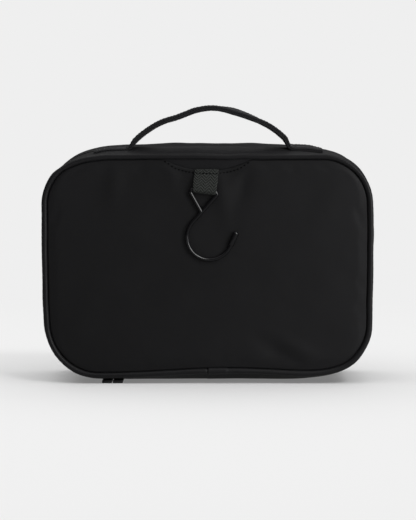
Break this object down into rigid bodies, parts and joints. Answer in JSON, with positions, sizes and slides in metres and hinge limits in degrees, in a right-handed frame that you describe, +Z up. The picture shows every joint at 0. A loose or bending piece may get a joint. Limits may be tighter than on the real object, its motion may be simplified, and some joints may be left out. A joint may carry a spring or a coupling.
{
  "type": "hanging toiletry bag",
  "caption": "Soft zipped toiletry bag in two half shells with a top handle and a fold-out wire hook on its back, so that it opens flat and hangs.",
  "frame": {"origin": "on the surface the bag stands on, under the middle of its bounding box", "axes": "+X to the right when the back with the hook is seen, +Y from the back panel to the front panel, +Z up"},
  "size_m": [0.289, 0.098, 0.2358],
  "materials": {
    "panel_cloth": "tightly woven coated nylon twill, soft sheen",
    "piping_cloth": "bias-cut nylon over a cord",
    "piping_cord": "twisted filler cord",
    "foam": "closed-cell foam",
    "lining": "thin plain-weave polyester",
    "binding": "ribbed binding tape",
    "zip_tape": "coated woven tape",
    "zip_coil": "nylon coil",
    "mesh": "open knitted mesh",
    "elastic": "ribbed elastic",
    "webbing": "heavy herringbone webbing",
    "tab_webbing": "herringbone webbing",
    "hook_steel": "gloss black powder-coated wire",
    "hook_sleeve": "moulded end sleeve",
    "slider_metal": "black enamelled zinc",
    "puller_tab": "moulded tab"
  },
  "bodies": {
    "back_half": {"back_panel": "panel_cloth", "back_pocket_facing": "panel_cloth", "back_foam": "foam", "back_lining": "lining", "back_piping": "piping_cloth", "back_piping_cord": "piping_cord", "back_binding": "binding", "body_gusset": "panel_cloth", "body_gusset_lining": "lining", "body_zip_tape": "zip_tape", "body_zip_teeth": "zip_coil", "bottom_hinge": "panel_cloth", "zip_end_tabs": "zip_tape", "body_mesh_pocket": "mesh", "body_pocket_elastic": "elastic", "handle_end_left": "webbing", "handle_end_right": "webbing", "hook_tab_end": "tab_webbing"},
    "handle": {"handle_strap": "webbing"},
    "tab": {"hook_tab": "tab_webbing"},
    "hook": {"hook_wire": "hook_steel", "hook_cap": "hook_sleeve"},
    "slider_left": {"main_slider_left": "slider_metal"},
    "slider_right": {"main_slider_right": "slider_metal"},
    "puller_left": {"main_puller_left": "puller_tab"},
    "puller_right": {"main_puller_right": "puller_tab"},
    "front_half": {"front_panel": "panel_cloth", "front_foam": "foam", "front_lining": "lining", "front_piping": "piping_cloth", "front_piping_cord": "piping_cord", "front_binding": "binding", "lid_gusset": "panel_cloth", "lid_gusset_lining": "lining", "lid_zip_tape": "zip_tape", "lid_zip_teeth": "zip_coil", "lid_mesh_pocket": "mesh", "lid_pocket_elastic": "elastic"}
  },
  "joints": [
    {"name": "lid_hinge", "type": "hinge", "parent": "back_half", "child": "front_half", "pos_m": [0, 0.00507, -0.0003], "axis": [-1, 0, 0], "range_deg": [0, 180]},
    {"name": "handle_flop", "type": "hinge", "parent": "back_half", "child": "handle", "pos_m": [0.002, -0.02493, 0.2103], "axis": [1, 0, 0], "range_deg": [-50, 50], "stiffness_Nm_per_rad": 0.02},
    {"name": "hook_tab_flip", "type": "hinge", "parent": "back_half", "child": "tab", "pos_m": [-0.002, -0.04443, 0.1775], "axis": [-1, 0, 0], "range_deg": [0, 145]},
    {"name": "hook_swing", "type": "hinge", "parent": "tab", "child": "hook", "pos_m": [0, -0.04627, 0.1635], "axis": [-0.9945, 0, 0.1045], "range_deg": [0, 75]},
    {"name": "left_slider_slide", "type": "slide", "parent": "back_half", "child": "slider_left", "axis": [-1, 0, 0], "range_m": [0, 0.008]},
    {"name": "right_slider_slide", "type": "slide", "parent": "back_half", "child": "slider_right", "axis": [-1, 0, 0], "range_m": [0, 0.008]},
    {"name": "left_puller_swing", "type": "hinge", "parent": "slider_left", "child": "puller_left", "pos_m": [-0.0855, 0.00507, 0.0009], "axis": [1, 0, 0], "range_deg": [0, 150]},
    {"name": "right_puller_swing", "type": "hinge", "parent": "slider_right", "child": "puller_right", "pos_m": [-0.0762, 0.00507, 0.0009], "axis": [1, 0, 0], "range_deg": [0, 150]}
  ],
  "couplings": [
    {"joint": "right_slider_slide", "follows": "left_slider_slide", "ratio": 1}
  ]
}
